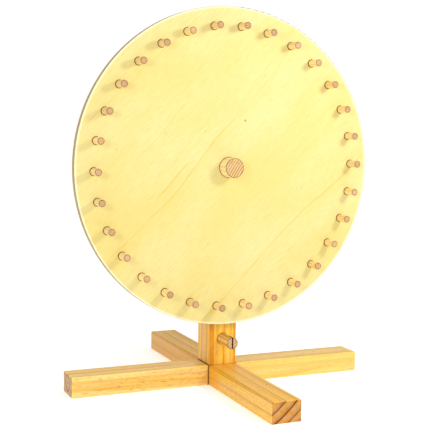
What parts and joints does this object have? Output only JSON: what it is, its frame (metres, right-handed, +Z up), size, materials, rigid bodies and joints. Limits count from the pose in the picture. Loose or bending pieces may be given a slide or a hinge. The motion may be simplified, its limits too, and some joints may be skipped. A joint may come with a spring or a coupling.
{
  "type": "circular peg loom",
  "caption": "Round table-top peg loom: a plywood wheel with a ring of dowel pegs turns on a thick dowel axle in a square post on a crossed-rail foot, with a slotted yarn-end dowel below.",
  "frame": {"origin": "on the floor at the centre of the two crossed foot rails", "axes": "+Z up, -Y towards the peg side of the wheel, +X to the right when facing the pegs"},
  "size_m": [0.4, 0.4, 0.481],
  "materials": {
    "rail_pine": "planed pine, clear satin varnish",
    "post_pine": "planed pine, clear satin varnish",
    "holder_dowel": "turned hardwood dowel, clear satin varnish",
    "plywood": "pale sanded plywood, clear matt varnish",
    "axle_dowel": "turned hardwood dowel, sanded",
    "peg_dowel": "turned hardwood dowel, sanded",
    "hardwood": "plain hardwood ring, waxed",
    "zinc_steel": "zinc plated steel"
  },
  "bodies": {
    "stand": {"foot_rail_left_right": "rail_pine", "foot_rail_front_back": "rail_pine", "post": "post_pine", "yarn_holder": "holder_dowel", "post_screw_left": "zinc_steel", "post_screw_right": "zinc_steel"},
    "wheel": {"wheel_disc": "plywood", "axle": "axle_dowel", "spacer_washer": "hardwood", "end_washer": "zinc_steel", "end_screw": "zinc_steel", "peg_01": "peg_dowel", "peg_02": "peg_dowel", "peg_03": "peg_dowel", "peg_04": "peg_dowel", "peg_05": "peg_dowel", "peg_06": "peg_dowel", "peg_07": "peg_dowel", "peg_08": "peg_dowel", "peg_09": "peg_dowel", "peg_10": "peg_dowel", "peg_11": "peg_dowel", "peg_12": "peg_dowel", "peg_13": "peg_dowel", "peg_14": "peg_dowel", "peg_15": "peg_dowel", "peg_16": "peg_dowel", "peg_17": "peg_dowel", "peg_18": "peg_dowel", "peg_19": "peg_dowel", "peg_20": "peg_dowel", "peg_21": "peg_dowel", "peg_22": "peg_dowel", "peg_23": "peg_dowel", "peg_24": "peg_dowel", "peg_25": "peg_dowel", "peg_26": "peg_dowel", "peg_27": "peg_dowel", "peg_28": "peg_dowel", "peg_29": "peg_dowel", "peg_30": "peg_dowel"}
  },
  "joints": [
    {"name": "wheel_spin", "type": "hinge", "parent": "stand", "child": "wheel", "pos_m": [0, 0, 0.281], "axis": [0, 1, 0], "continuous": true}
  ]
}
